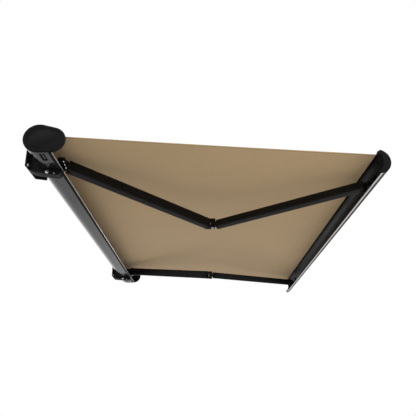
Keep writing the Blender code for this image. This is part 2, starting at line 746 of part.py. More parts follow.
def end_casting(name, carrier, hand, direction, sizes):
    """The casting on a tube's pivot end: an eye, a body with the tube's outline and a plug inside it."""
    eye, eye_height, start, end, width, height = sizes
    turn = flip(direction)
    half = eye_height / 2
    reach = start + 0.006
    side = width / 2 - 0.002
    neck = arc((0, 0), eye, 90, 270, 15.0) + [(reach, -side), (reach, side)]
    casting = add(name, prism(turn(mirrored(neck, hand)), -half, half, flat), black_cast(), carrier)
    ends = sorted((direction * start, direction * end))
    body = prism(rounded_box(width, height, TUBE_CORNER), ends[0], ends[1], endwise)
    combine(casting, add(f"{name}_body", body, carrier=carrier), "UNION")
    inner_width = width - 2 * TUBE_WALL - 2 * GAP
    inner_height = height - 2 * TUBE_WALL - 2 * GAP
    plug_ends = sorted((direction * (end - 0.002), direction * (end + SOCKET_LENGTH)))
    plug = prism(rounded_box(inner_width, inner_height, TUBE_CORNER - TUBE_WALL), *plug_ends, endwise)
    combine(casting, add(f"{name}_plug", plug, carrier=carrier), "UNION")
    bore = rod(-half - 0.01, half + 0.01, PIN_RADIUS + GAP, SMALL_ROUND)
    combine(casting, add(f"{name}_bore", bore, carrier=carrier), "DIFFERENCE")
    return casting


def elbow_casting(name, carrier, hand, direction, width, height, ears):
    """The casting on a tube's elbow end. Its pivot lies beside the tube, so that the arm folds flat.

    With ears it is the fork that holds the pin, and without them the eye between the ears.
    """
    turn = flip(direction)
    body_end = TUBE_REACH - ELBOW_SETBACK
    body_start = TUBE_REACH - ELBOW_CASTING
    side = width / 2
    reach = body_end - 0.006
    pivot = (TUBE_REACH, -FOLD_OFFSET)
    hull = arc(pivot, ELBOW_EYE, -90, 50, 14.0)
    hull += [(reach, side - 0.006), (body_end - 0.001, -side + 0.002)]
    ends = sorted((direction * body_start, direction * body_end))
    body = prism(rounded_box(width, height, TUBE_CORNER), ends[0], ends[1], endwise)
    casting = add(name, body, black_cast(), carrier)
    inner_width = width - 2 * TUBE_WALL - 2 * GAP
    inner_height = height - 2 * TUBE_WALL - 2 * GAP
    plug_ends = sorted((direction * (body_start + 0.002), direction * (body_start - SOCKET_LENGTH)))
    plug = prism(rounded_box(inner_width, inner_height, TUBE_CORNER - TUBE_WALL), *plug_ends, endwise)
    combine(casting, add(f"{name}_plug", plug, carrier=carrier), "UNION")
    half = ELBOW_EYE_HEIGHT / 2
    if ears:
        layers = ((half + RUNNING, height / 2 - 0.001), (-height / 2 + 0.001, -half - RUNNING))
    else:
        layers = ((-half, half),)
    for i, (low, high) in enumerate(layers):
        layer = prism(turn(mirrored(hull, hand)), low, high, flat)
        combine(casting, add(f"{name}_layer_{i}", layer, carrier=carrier), "UNION")
    place = Matrix.Translation((direction * pivot[0], hand * pivot[1], 0))
    bore = rod(-height, height, PIN_RADIUS + GAP, SMALL_ROUND)
    combine(casting, add(f"{name}_bore", bore, carrier=carrier, place=place), "DIFFERENCE")
    return casting


def hook_hole(casting, direction, deep_end):
    """The seat in a casting's plug for the spring's hook or the cable's end."""
    lengthwise = Matrix.Rotation(math.radians(90), 4, "Y")
    low, high = sorted((direction * deep_end[0], direction * deep_end[1]))
    hole = rod(low, high, HOOK_RADIUS + GAP, SMALL_ROUND)
    seat = add(f"{casting.name}_hook_seat", hole, carrier=casting.parent, place=lengthwise)
    combine(casting, seat, "DIFFERENCE")


def upper_arm(side, hand, carrier):
    end = SHOULDER_CASTING
    sizes = (SHOULDER_EYE, SHOULDER_EYE_HEIGHT, SHOULDER_EAR + 0.003, end, UPPER_WIDTH, UPPER_HEIGHT)
    shoulder = end_casting(f"{side}_shoulder_casting", carrier, hand, 1, sizes)
    plug_end = end + SOCKET_LENGTH
    hook_hole(shoulder, 1, (plug_end - HOOK_SEAT - GAP, plug_end + 0.01))
    far = TUBE_REACH - ELBOW_CASTING
    tube = hollow_tube(UPPER_WIDTH, UPPER_HEIGHT, TUBE_CORNER, TUBE_WALL, end + GAP, far - GAP)
    add(f"{side}_upper_arm_tube", tube, black_cast(), carrier)
    elbow = elbow_casting(f"{side}_elbow_fork", carrier, hand, 1, UPPER_WIDTH, UPPER_HEIGHT, True)
    cable_end = far - SOCKET_LENGTH
    hook_hole(elbow, 1, (cable_end - 0.01, cable_end + HOOK_SEAT + GAP))
    lengthwise = Matrix.Rotation(math.radians(90), 4, "Y")
    coil_start = plug_end + 0.010
    coil_end = coil_start + SPRING_LENGTH
    spring = [
        (plug_end - HOOK_SEAT, HOOK_RADIUS),
        (coil_start, HOOK_RADIUS),
        (coil_start, SPRING_RADIUS),
        (coil_end, SPRING_RADIUS),
        (coil_end, HOOK_RADIUS),
        (coil_end + 0.012, HOOK_RADIUS),
    ]
    add(f"{side}_arm_spring", turned(spring, SMALL_ROUND), bare_steel(), carrier, lengthwise)
    cable = rod(coil_end + 0.012 + GAP, cable_end + HOOK_SEAT, CABLE_RADIUS, SMALL_ROUND)
    add(f"{side}_arm_cable", cable, bare_steel(), carrier, lengthwise)
    place = Matrix.Translation((TUBE_REACH, -FOLD_OFFSET * hand, 0))
    pivot_pin(f"{side}_elbow_pin", UPPER_HEIGHT / 2 - 0.001, carrier, place)


def forearm(side, hand, carrier):
    """Drawn from the front joint back to the elbow."""
    sizes = (FRONT_EYE, FRONT_EYE_HEIGHT, FRONT_EYE + 0.012, FRONT_CASTING, FORE_WIDTH, FORE_HEIGHT)
    end_casting(f"{side}_front_casting", carrier, hand, -1, sizes)
    low = -TUBE_REACH + ELBOW_CASTING + GAP
    tube = hollow_tube(FORE_WIDTH, FORE_HEIGHT, TUBE_CORNER, TUBE_WALL, low, -FRONT_CASTING - GAP)
    add(f"{side}_forearm_tube", tube, black_cast(), carrier)
    elbow_casting(f"{side}_elbow_eye", carrier, hand, -1, FORE_WIDTH, FORE_HEIGHT, False)


def front_fork(side, hand, carrier):
    """Ears round the forearm's eye, a round web ahead of them and a spigot into the bar's mount."""
    half = FRONT_EYE_HEIGHT / 2 + RUNNING
    top = half + FRONT_EAR_THICK
    reach = BAR_WEB_START + 0.002
    ear = arc((0, 0), FRONT_EYE, 90, 270, 15.0) + [(reach, -0.012), (reach, 0.012)]
    fork = add(f"{side}_front_fork", prism(mirrored(ear, hand), half, top, flat), black_cast(), carrier)
    lower = prism(mirrored(ear, hand), -top, -half, flat)
    combine(fork, add(f"{side}_front_lower_ear", lower, carrier=carrier), "UNION")
    ahead = Matrix.Rotation(math.radians(90), 4, "Y")
    web_end = BAR_WEB_START + BAR_WEB_THICK
    spigot_end = web_end + BAR_SPIGOT_LENGTH
    web = [
        (BAR_WEB_START, BAR_WEB_RADIUS),
        (web_end, BAR_WEB_RADIUS),
        (web_end, BAR_SPIGOT_RADIUS),
        (spigot_end, BAR_SPIGOT_RADIUS),
    ]
    helper = add(f"{side}_front_web", turned(web, ROUND), carrier=carrier, place=ahead)
    combine(fork, helper, "UNION")
    bore = rod(-top - 0.01, top + 0.01, PIN_RADIUS + GAP, SMALL_ROUND)
    combine(fork, add(f"{side}_front_bore", bore, carrier=carrier), "DIFFERENCE")
    pivot_pin(f"{side}_front_pin", top, carrier)


def arms():
    for side, sign in SIDES:
        hand = -sign
        inward = Vector((-sign, 0, 0))
        beside = inward * math.cos(DROOP) - ABOVE * math.sin(DROOP)
        shoulder = shoulder_point(sign)
        front = shoulder + ALONG * OPEN_SPAN
        rising = ALONG * math.cos(TUBE_ANGLE) + beside * math.sin(TUBE_ANGLE)
        rising_out = beside * math.cos(TUBE_ANGLE) - ALONG * math.sin(TUBE_ANGLE)
        falling = ALONG * math.cos(TUBE_ANGLE) - beside * math.sin(TUBE_ANGLE)
        falling_out = beside * math.cos(TUBE_ANGLE) + ALONG * math.sin(TUBE_ANGLE)
        fork_axis = group(f"{side}_shoulder_axis", frame(shoulder, ALONG, beside * hand))
        upper_axis = group(f"{side}_upper_arm_axis", frame(shoulder, rising, rising_out * hand))
        fore_axis = group(f"{side}_forearm_axis", frame(front, falling, falling_out * hand))
        front_axis = group(f"{side}_front_axis", frame(front, ALONG, beside * hand))
        shoulder_mount(side, sign)
        shoulder_fork(side, hand, fork_axis)
        half = SHOULDER_EYE_HEIGHT / 2 + RUNNING + SHOULDER_EAR_THICK
        pivot_pin(f"{side}_shoulder_pin", half, fork_axis)
        upper_arm(side, hand, upper_axis)
        forearm(side, hand, fore_axis)
        front_fork(side, hand, front_axis)
        bar_mount(side, sign, front)


def bar_mount(side, sign, front):
    """The block inside the front bar that the front fork's spigot turns in."""
    radius = FRONT_RADIUS - BAR_WALL - GAP
    direction = (math.cos(SLOPE), -math.sin(SLOPE))
    ahead = (BAR_OUT + front.y) * direction[0] + (BAR_UP - front.z) * direction[1]
    spread = math.degrees(math.acos((BAR_MOUNT_AHEAD - ahead) / radius))
    middle = -math.degrees(SLOPE)
    outline = arc((BAR_OUT, BAR_UP), radius, middle - spread, middle + spread)
    low = sign * ARM_X - BAR_MOUNT_LENGTH / 2
    mount = section(f"{side}_bar_mount", outline, low, low + BAR_MOUNT_LENGTH, black_cast())
    end = BAR_WEB_START + BAR_WEB_THICK + BAR_SPIGOT_LENGTH + GAP
    hole = rod(0.01, end, BAR_SPIGOT_RADIUS + GAP, SMALL_ROUND)
    place = Matrix.Translation(front) @ along_slope()
    combine(mount, add(f"{side}_bar_mount_cutter", hole, place=place), "DIFFERENCE")


def front_bar():
    half = HALF_LENGTH - BAR_END_GAP - BAR_CAP - GAP
    centre = (BAR_OUT, BAR_UP)
    outline = arc(centre, FRONT_RADIUS, BAR_BOTTOM_ANGLE, BAR_TOP_ANGLE, 7.0)
    outline += arc(centre, FRONT_RADIUS - BAR_WALL, BAR_TOP_ANGLE, BAR_BOTTOM_ANGLE, 7.0)
    bar = section("front_bar_profile", outline, -half, half, anthracite())
    out, up = keder_point()
    side = KEDER_BLOCK / 2
    block = [(out - side, up - side), (out + side, up - side)]
    block += [(out + side, up + side), (out - side, up + side)]
    combine(bar, section("keder_block", block, -half, half), "UNION")
    groove = arc((out, up), KEDER_RADIUS + GAP, 30, 330, 30.0)
    mouth = (KEDER_RADIUS + GAP) * math.sin(math.radians(30))
    groove = [(2 * out - a, b) for a, b in groove]
    groove += [(out - side - 0.002, up - mouth), (out - side - 0.002, up + mouth)]
    combine(bar, section("keder_cutter", groove, -half - 0.01, half + 0.01), "DIFFERENCE")
    rod_half = FABRIC_WIDTH / 2
    keder = rod(-rod_half, rod_half, KEDER_RADIUS, 12)
    add("keder_rod", keder, grey_plastic(), place=along_x(0, out, up))


def front_lip_strip():
    """The pale strip along the front bar's lower edge."""
    half = HALF_LENGTH - BAR_END_GAP
    top = BAR_UP + FRONT_RADIUS * math.sin(math.radians(BAR_BOTTOM_ANGLE)) - GAP - 0.0002
    back = BAR_OUT + STRIP_BACK
    front = back + STRIP_WIDTH
    outline = [(back, top), (back, top - STRIP_THICK)]
    outline += arc((front - STRIP_THICK / 2, top - STRIP_THICK / 2), STRIP_THICK / 2, -90, 90, 30.0)
    section("front_lip_strip", outline, -half, half, pale_trim())


def bar_end_caps():
    """Crescents that close the ends of the front bar."""
    centre = (BAR_OUT, BAR_UP)
    inner = (BAR_OUT + FRONT_RADIUS - BAR_CAP_DEPTH - BAR_CAP_INNER, BAR_UP)
    outline = arc(centre, FRONT_RADIUS, BAR_BOTTOM_ANGLE, BAR_TOP_ANGLE, 7.0)
    outline += arc(inner, BAR_CAP_INNER, 58, -58, 8.0)
    for side, sign in SIDES:
        outer = sign * (HALF_LENGTH - BAR_END_GAP)
        bm = prism(outline, 0.0, -sign * BAR_CAP, across)
        rim = [e for e in bm.edges if all(abs(v.co.x) < 1e-6 for v in e.verts)]
        bmesh.ops.bevel(bm, geom=rim, offset=BAR_CAP_CHAMFER, segments=1, profile=0.5, affect="EDGES")
        place = Matrix.Translation((outer, 0, 0))
        add(f"{side}_bar_end_cap", bm, anthracite(), place=place, round_under=25.0)


def build():
    clear_scene()
    cassette_housing()
    setting_window_plate()
    end_caps()
    end_plates()
    lip_trims()
    wall_brackets()
    roller()
    tubular_motor()
    fabric_cover()
    arms()
    front_bar()
    front_lip_strip()
    bar_end_caps()


build()
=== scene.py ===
"""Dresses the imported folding-arm awning: its cloth, coats, trims and fasteners, and the studio round it.

Sizes are in metres, in the frame's own axes: X along the cassette, -Y away from the wall, Z up.
"""

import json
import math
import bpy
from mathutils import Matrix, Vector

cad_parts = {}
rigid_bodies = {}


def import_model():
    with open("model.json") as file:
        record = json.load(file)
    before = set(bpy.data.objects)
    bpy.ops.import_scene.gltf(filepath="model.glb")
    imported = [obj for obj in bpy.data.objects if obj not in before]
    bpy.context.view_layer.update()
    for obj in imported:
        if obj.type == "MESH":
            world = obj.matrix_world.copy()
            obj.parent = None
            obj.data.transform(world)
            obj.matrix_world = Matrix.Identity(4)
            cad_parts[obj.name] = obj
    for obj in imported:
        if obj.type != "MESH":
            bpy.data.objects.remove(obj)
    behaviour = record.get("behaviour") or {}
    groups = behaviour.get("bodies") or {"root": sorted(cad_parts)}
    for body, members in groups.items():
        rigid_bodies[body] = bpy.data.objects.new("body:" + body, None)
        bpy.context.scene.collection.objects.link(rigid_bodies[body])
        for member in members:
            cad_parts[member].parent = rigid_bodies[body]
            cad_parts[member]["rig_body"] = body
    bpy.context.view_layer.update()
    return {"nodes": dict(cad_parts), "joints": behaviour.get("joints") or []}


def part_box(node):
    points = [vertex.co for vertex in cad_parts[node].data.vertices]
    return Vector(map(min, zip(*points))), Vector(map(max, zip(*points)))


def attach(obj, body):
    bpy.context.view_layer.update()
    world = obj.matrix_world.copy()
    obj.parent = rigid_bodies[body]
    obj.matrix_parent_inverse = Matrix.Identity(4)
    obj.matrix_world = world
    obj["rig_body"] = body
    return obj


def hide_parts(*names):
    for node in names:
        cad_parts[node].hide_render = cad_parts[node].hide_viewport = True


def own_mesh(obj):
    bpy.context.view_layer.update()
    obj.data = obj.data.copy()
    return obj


bl_info = {
    "name": "Folding-arm awning",
    "version": (1, 0, 0),
    "blender": (4, 5, 0),
    "location": "View3D > Sidebar > Awning",
    "description": "Cloth, coats and fasteners for a full-cassette awning",
    "category": "Object",
}

import bmesh
import bpy
from bpy.props import FloatProperty, FloatVectorProperty, IntProperty, PointerProperty
from mathutils import Matrix, Vector

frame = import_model()

NODES = frame["nodes"]
JOINTS = {joint["name"]: joint for joint in frame["joints"]}
SIDES = (("left", -1), ("right", 1))

# The main hinge and the line along which the bar travels, as the frame gives them
ALONG = Vector(JOINTS["left_shoulder_roll"]["axis"]).normalized()

# The cloth's rear and front edge, its length between them and its reach along the bar's line
CLOTH_LOW, CLOTH_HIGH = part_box("fabric_cover")
CLOTH_REAR = Vector((0.0, CLOTH_HIGH.y, CLOTH_HIGH.z))
CLOTH_FRONT = Vector((0.0, CLOTH_LOW.y, CLOTH_LOW.z))
CLOTH_LENGTH = (CLOTH_FRONT - CLOTH_REAR).length


# The height of the bolts' heads, as on the CAD nodes
HEAD_HEIGHT = 0.006

# How far the light-grey strip, a painted highlight along the lip's lower edge, reaches over the lip's trim,
# up and back from that edge
LIP_EDGE = 0.004

# The light plate in the window's slot: its ends reach past the CAD's slot and its sides stand free of it
SLOT_HALF = 0.0268
SLOT_RADIUS = 0.0048

# Screws made here, as the radius and height of the head and the width of the washer beyond it
WINDOW_SCREW = (0.0032, 0.0016, 0.0006)
SHOULDER_SCREW = (0.0075, 0.0052, 0.0015)
MOUNT_SCREW = (0.0048, 0.0036, 0.0010)
BOLT_WASHER = 0.0015
BOLT_SHANK = 0.004

# How far a strip laid over an edge stands out of it
STRIP_PROUD = 0.0006

# Points nearer than this are one point, and a turned piece has this many steps
WELD = 0.00001
TURN_STEPS = 32


# Mesh helpers


def finish_piece(name, bm, look, body, sharp=35.0, recalculate=True):
    """Makes the piece, gives it its coat and material slot, and lets it ride on a body."""
    if recalculate:
        bmesh.ops.recalc_face_normals(bm, faces=bm.faces)
    mesh = bpy.data.meshes.new(name)
    bm.to_mesh(mesh)
    bm.free()
    mesh.shade_smooth()
    mesh.set_sharp_from_angle(angle=math.radians(sharp))
    mesh.materials.append(look)
    obj = bpy.data.objects.new(name, mesh)
    bpy.context.scene.collection.objects.link(obj)
    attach(obj, body)
    return obj


def merged_copy(node):
    """A CAD node's mesh with its loose triangles merged into flat faces."""
    bm = bmesh.new()
    bm.from_mesh(NODES[node].data)
    bmesh.ops.remove_doubles(bm, verts=bm.verts, dist=WELD)
    flat = math.radians(0.5)
    bmesh.ops.dissolve_limit(bm, angle_limit=flat, verts=bm.verts, edges=bm.edges)
    return bm


def end_face(bm, direction):
    """The largest flat face that points this way."""
    facing = [face for face in bm.faces if face.normal.dot(direction) > 0.99]
    return max(facing, key=lambda face: face.calc_area())


def inset(bm, face, thickness, depth=0.0):
    bmesh.ops.inset_region(bm, faces=[face], thickness=thickness, depth=depth, use_even_offset=True)


def groove(bm, face, margin, width, depth):
    """Cuts a shallow line round a flat face, a margin in from its edge."""
    inset(bm, face, margin)
    for change in (-depth, 0.0, depth):
        inset(bm, face, width / 3, change)


def softened(node, width, look):
    """Stands a copy with rounded edges in a CAD node's place."""
    body = NODES[node]["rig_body"]
    piece = finish_piece(f"{node}_dressed", merged_copy(node), look, body, 40.0, False)
    bevel = piece.modifiers.new("soft_edges", "BEVEL")
    bevel.width = width
    bevel.segments = 2
    bevel.limit_method = "ANGLE"
    bevel.angle_limit = math.radians(40)
    bevel.use_clamp_overlap = True
    bevel.harden_normals = True
    bevel.miter_outer = "MITER_ARC"
    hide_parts(node)


def coat(node, look):
    """Gives a CAD node that keeps its shape its finish."""
    mesh = NODES[node].data
    mesh.materials.clear()
    mesh.materials.append(look)


def turned(profile):
    """A mesh turned round Z from a profile of (radius, height)."""
    bm = bmesh.new()
    verts = [bm.verts.new((radius, 0, height)) for radius, height in profile]
    edges = [bm.edges.new(pair) for pair in zip(verts, verts[1:])]
    around = {"cent": (0, 0, 0), "axis": (0, 0, 1), "angle": math.tau}
    bmesh.ops.spin(bm, geom=verts + edges, steps=TURN_STEPS, use_merge=True, **around)
    bmesh.ops.remove_doubles(bm, verts=bm.verts, dist=WELD)
    return bm


def stood(bm, centre, axis):
    """Turns a mesh made along Z to this axis and moves it to this centre."""
    turn = Vector((0, 0, 1)).rotation_difference(Vector(axis)).to_matrix().to_4x4()
    bmesh.ops.transform(bm, matrix=Matrix.Translation(Vector(centre)) @ turn, verts=bm.verts)
    return bm


def upright(line):
    """The direction square to this line and to X that points up."""
    up = line.cross(Vector((1, 0, 0))).normalized()
    return up if up.z > 0 else -up


def new_verts(moved):
    return [v for v in moved["geom"] if isinstance(v, bmesh.types.BMVert)]


def strip(name, low, high, edge, look, body):
    """A straight strip with rounded edges between two opposite corners."""
    low, high = Vector(low), Vector(high)
    bm = bmesh.new()
    bmesh.ops.create_cube(bm, size=1.0)
    bmesh.ops.scale(bm, vec=high - low, verts=bm.verts)
    bmesh.ops.translate(bm, vec=(low + high) / 2, verts=bm.verts)
    edges = bm.edges[:]
    bmesh.ops.bevel(bm, geom=edges, affect="EDGES", offset=edge, segments=2, profile=0.5, material=-1)
    return finish_piece(name, bm, look, body)


def socket_screw(head, height, washer, shank=0.0):
    """A domed screw with a hexagon socket and a washer, standing on the plane at 0."""
    lift = 0.0002
    top_of_washer = height * 0.3 * 0.75
    profile = [
        (0.0005, -shank),
        (head * 0.5, -shank),
        (head * 0.5, lift),
        (head + washer, lift),
        (head + washer, height * 0.3 * 0.6),
        (head + washer * 0.4, top_of_washer),
        (head, top_of_washer),
        (head, height * 0.72),
        (head * 0.93, height * 0.92),
        (head * 0.78, height),
    ]
    bm = turned(profile)
    rings = [e for e in bm.edges if e.is_boundary]
    top = [e for e in rings if e.verts[0].co.z > height * 0.9]
    bottom = [e for e in rings if e.verts[0].co.z < 0.0001]
    bmesh.ops.holes_fill(bm, edges=bottom)
    socket = bmesh.ops.create_circle(bm, segments=6, radius=head * 0.45)["verts"]
    bmesh.ops.translate(bm, vec=(0, 0, height), verts=socket)
    hexagon = list({e for v in socket for e in v.link_edges})
    bmesh.ops.bridge_loops(bm, edges=top + hexagon)
    sunk = new_verts(bmesh.ops.extrude_edge_only(bm, edges=hexagon))
    bmesh.ops.translate(bm, vec=(0, 0, -height * 0.55), verts=sunk)
    floor = list({e for v in sunk for e in v.link_edges if e.is_boundary})
    bmesh.ops.holes_fill(bm, edges=floor)
    return bm


# Material helpers


def feed(tree, made, inputs):
    """Gives a node's inputs their values or other nodes' sockets, by name or number."""
    for name, value in inputs.items():
        if isinstance(value, bpy.types.NodeSocket):
            tree.links.new(value, made.inputs[name])
        else:
            made.inputs[name].default_value = value


def node(tree, kind, inputs=None, **settings):
    """Adds a shader node of this kind, with its settings and inputs."""
    made = tree.nodes.new("ShaderNode" + kind)
    for name, value in settings.items():
        setattr(made, name, value)
    feed(tree, made, inputs or {})
    return made


def math_node(tree, operation, *values):
    return node(tree, "Math", dict(enumerate(values)), operation=operation).outputs[0]


def mixed_colour(tree, factor, first, second, **settings):
    """Two colours mixed by a factor. Inputs 6 and 7 and output 2 are the node's colour sockets."""
    inputs = {"Factor": factor, 6: first, 7: second}
    return node(tree, "Mix", inputs, data_type="RGBA", **settings).outputs[2]


def new_group(name, inputs, outputs):
    """A shader group with these sockets, given as (name, type, default)."""
    group = bpy.data.node_groups.new(name, "ShaderNodeTree")
    for label, kind, default in inputs:
        socket = group.interface.new_socket(label, in_out="INPUT", socket_type="NodeSocket" + kind)
        if default is not None:
            socket.default_value = default
    for label, kind in outputs:
        group.interface.new_socket(label, in_out="OUTPUT", socket_type="NodeSocket" + kind)
    return group, group.nodes.new("NodeGroupInput").outputs, group.nodes.new("NodeGroupOutput").inputs


def shade_drift_group():
    """Slow and fine changes of shade and gloss over a surface."""
    if "shade_drift" in bpy.data.node_groups:
        return bpy.data.node_groups["shade_drift"]
    wanted = [
        ("Vector", "Vector", None),
        ("Colour", "Color", (0.5, 0.5, 0.5, 1)),
        ("Scale", "Float", 3.0),
        ("Amount", "Float", 0.1),
        ("Roughness", "Float", 0.4),
    ]
    group, given, result = new_group("shade_drift", wanted, [("Colour", "Color"), ("Roughness", "Float")])
    slow = node(group, "TexNoise", {"Vector": given["Vector"], "Scale": given["Scale"], "Detail": 3.0})
    fine = math_node(group, "MULTIPLY", given["Scale"], 23.0)
    speckle = node(group, "TexNoise", {"Vector": given["Vector"], "Scale": fine, "Detail": 2.0})
    fainter = math_node(group, "MULTIPLY", speckle.outputs["Fac"], 0.4)
    both = math_node(group, "ADD", slow.outputs["Fac"], fainter)
    centred = math_node(group, "SUBTRACT", both, 0.7)
    swing = math_node(group, "MULTIPLY", centred, given["Amount"])
    value = math_node(group, "ADD", swing, 1.0)
    tinted = node(group, "HueSaturation", {"Color": given["Colour"], "Value": value})
    group.links.new(tinted.outputs[0], result["Colour"])
    rough = math_node(group, "ADD", given["Roughness"], math_node(group, "MULTIPLY", swing, 0.5))
    group.links.new(rough, result["Roughness"])
    return group


def powder_grain_group():
    """The fine orange peel of a sprayed and baked coat."""
    if "powder_grain" in bpy.data.node_groups:
        return bpy.data.node_groups["powder_grain"]
    wanted = [("Vector", "Vector", None), ("Scale", "Float", 900.0)]
    group, given, result = new_group("powder_grain", wanted, [("Height", "Float")])
    peel = node(group, "TexNoise", {"Vector": given["Vector"], "Scale": given["Scale"], "Detail": 1.0})
    spot = {"Vector": given["Vector"], "Scale": given["Scale"]}
    cells = node(group, "TexVoronoi", spot, feature="SMOOTH_F1")
    height = math_node(group, "ADD", peel.outputs["Fac"], cells.outputs["Distance"])
    group.links.new(height, result["Height"])
    return group


def drawn_lines_group():
    """Faint lines along X, as an extrusion die leaves them."""
    if "drawn_lines" in bpy.data.node_groups:
        return bpy.data.node_groups["drawn_lines"]
    wanted = [("Vector", "Vector", None), ("Scale", "Float", 400.0)]
    group, given, result = new_group("drawn_lines", wanted, [("Height", "Float"), ("Mask", "Float")])
    stretched = node(group, "Mapping", {"Vector": given["Vector"], "Scale": (0.006, 1.0, 1.0)})
    spot = {"Vector": stretched.outputs[0], "Scale": given["Scale"], "Detail": 2.0}
    lines = node(group, "TexNoise", spot)
    group.links.new(lines.outputs["Fac"], result["Height"])
    contrast = node(group, "MapRange", {"Value": lines.outputs["Fac"], "From Min": 0.35, "From Max": 0.65})
    group.links.new(contrast.outputs["Result"], result["Mask"])
    return group


def weave_group():
    """A plain weave of threads: warp along V and weft along U, both in metres."""
    if "plain_weave" in bpy.data.node_groups:
        return bpy.data.node_groups["plain_weave"]
    wanted = [("Vector", "Vector", None), ("Pitch", "Float", 0.001)]
    group, given, result = new_group("plain_weave", wanted, [("Height", "Float"), ("Warp", "Float")])
    parts = node(group, "SeparateXYZ", {0: given["Vector"]})
    turns = math_node(group, "DIVIDE", math.pi, given["Pitch"])
    across = math_node(group, "MULTIPLY", parts.outputs["X"], turns)
    along = math_node(group, "MULTIPLY", parts.outputs["Y"], turns)
    warp = math_node(group, "ABSOLUTE", math_node(group, "SINE", across))
    weft = math_node(group, "ABSOLUTE", math_node(group, "SINE", along))
    waves = math_node(group, "COSINE", across), math_node(group, "COSINE", along)
    over = math_node(group, "MULTIPLY", *waves)
    on_top = math_node(group, "GREATER_THAN", over, 0.0)
    shape = node(group, "Mix", {"Factor": on_top, "A": weft, "B": warp}, data_type="FLOAT")
    group.links.new(shape.outputs[0], result["Height"])
    group.links.new(on_top, result["Warp"])
    return group


def use_group(tree, group, inputs):
    """Places a group in a material and returns its outputs."""
    placed = tree.nodes.new("ShaderNodeGroup")
    placed.node_tree = group
    feed(tree, placed, inputs)
    return placed.outputs


def new_material(name):
    """A material with its Principled shader, and the socket of object coordinates."""
    made = bpy.data.materials.new(name)
    made.use_nodes = True
    shader = made.node_tree.nodes["Principled BSDF"]
    place = made.node_tree.nodes.new("ShaderNodeTexCoord").outputs["Object"]
    return made, made.node_tree, shader, place


def bump(tree, shader, height, distance, strength):
    made = node(tree, "Bump", {"Height": height, "Distance": distance, "Strength": strength})
    tree.links.new(made.outputs["Normal"], shader.inputs["Normal"])


def drifting(tree, shader, place, colour, scale, amount, roughness):
    """Gives the shader a drifting gloss and returns the colour that drifts with it."""
    given = {"Vector": place, "Colour": (*colour, 1), "Scale": scale}
    given.update({"Amount": amount, "Roughness": roughness})
    tones = use_group(tree, shade_drift_group(), given)
    tree.links.new(tones["Roughness"], shader.inputs["Roughness"])
    return tones["Colour"]


def coat_material(name, colour, roughness, specular):
    """A powder coat: nearly even colour, fine grain, slight drift of gloss."""
    if name in bpy.data.materials:
        return bpy.data.materials[name]
    made, tree, shader, place = new_material(name)
    tone = drifting(tree, shader, place, colour, 5.0, 0.35, roughness)
    feed(tree, shader, {"Base Color": tone, "Specular IOR Level": specular})
    peel = use_group(tree, powder_grain_group(), {"Vector": place, "Scale": 900.0})
    bump(tree, shader, peel["Height"], 0.0004, 0.12)
    return made


def metal_material(name, colour, roughness, lines=400.0, line_tint=0.12, metallic=1.0):
    """Drawn or extruded metal with faint lines along X."""
    if name in bpy.data.materials:
        return bpy.data.materials[name]
    made, tree, shader, place = new_material(name)
    tone = drifting(tree, shader, place, colour, 4.0, 0.15, roughness)
    drawn = use_group(tree, drawn_lines_group(), {"Vector": place, "Scale": lines})
    darker = tuple(part * (1 - line_tint) for part in colour)
    lined = mixed_colour(tree, drawn["Mask"], tone, (*darker, 1))
    feed(tree, shader, {"Base Color": lined, "Metallic": metallic})
    bump(tree, shader, drawn["Height"], 0.0002, 0.15)
    return made


def zinc_material():
    """Zinc-plated steel with soft spangles."""
    if "zinc_plate" in bpy.data.materials:
        return bpy.data.materials["zinc_plate"]
    made, tree, shader, place = new_material("zinc_plate")
    spangle = node(tree, "TexVoronoi", {"Vector": place, "Scale": 160.0})
    tone = drifting(tree, shader, place, (0.40, 0.41, 0.42), 30.0, 0.4, 0.38)
    spangled = mixed_colour(tree, 0.12, tone, spangle.outputs["Color"], blend_type="OVERLAY")
    feed(tree, shader, {"Base Color": spangled, "Metallic": 1.0})
    bump(tree, shader, spangle.outputs["Distance"], 0.0002, 0.1)
    return made


def plastic_material():
    """Dark moulded plastic with a fine grain."""
    if "moulded_plastic" in bpy.data.materials:
        return bpy.data.materials["moulded_plastic"]
    made, tree, shader, place = new_material("moulded_plastic")
    tone = drifting(tree, shader, place, (0.10, 0.10, 0.105), 12.0, 0.3, 0.5)
    feed(tree, shader, {"Base Color": tone})
    peel = use_group(tree, powder_grain_group(), {"Vector": place, "Scale": 600.0})
    bump(tree, shader, peel["Height"], 0.0003, 0.2)
    return made


def brush_material():
    """The dark hairs of the brush seal, side by side along X."""
    if "brush_hairs" in bpy.data.materials:
        return bpy.data.materials["brush_hairs"]
    made, tree, shader, place = new_material("brush_hairs")
    squeezed = node(tree, "Mapping", {"Vector": place, "Scale": (1.0, 0.03, 0.03)})
    hairs = node(tree, "TexNoise", {"Vector": squeezed.outputs[0], "Scale": 1400.0, "Detail": 1.0})
    dark, light = (0.004, 0.004, 0.004, 1), (0.025, 0.025, 0.026, 1)
    mixed = mixed_colour(tree, hairs.outputs["Fac"], dark, light)
    feed(tree, shader, {"Base Color": mixed, "Roughness": 0.9, "Specular IOR Level": 0.1})
    bump(tree, shader, hairs.outputs["Fac"], 0.0006, 0.6)
    return made


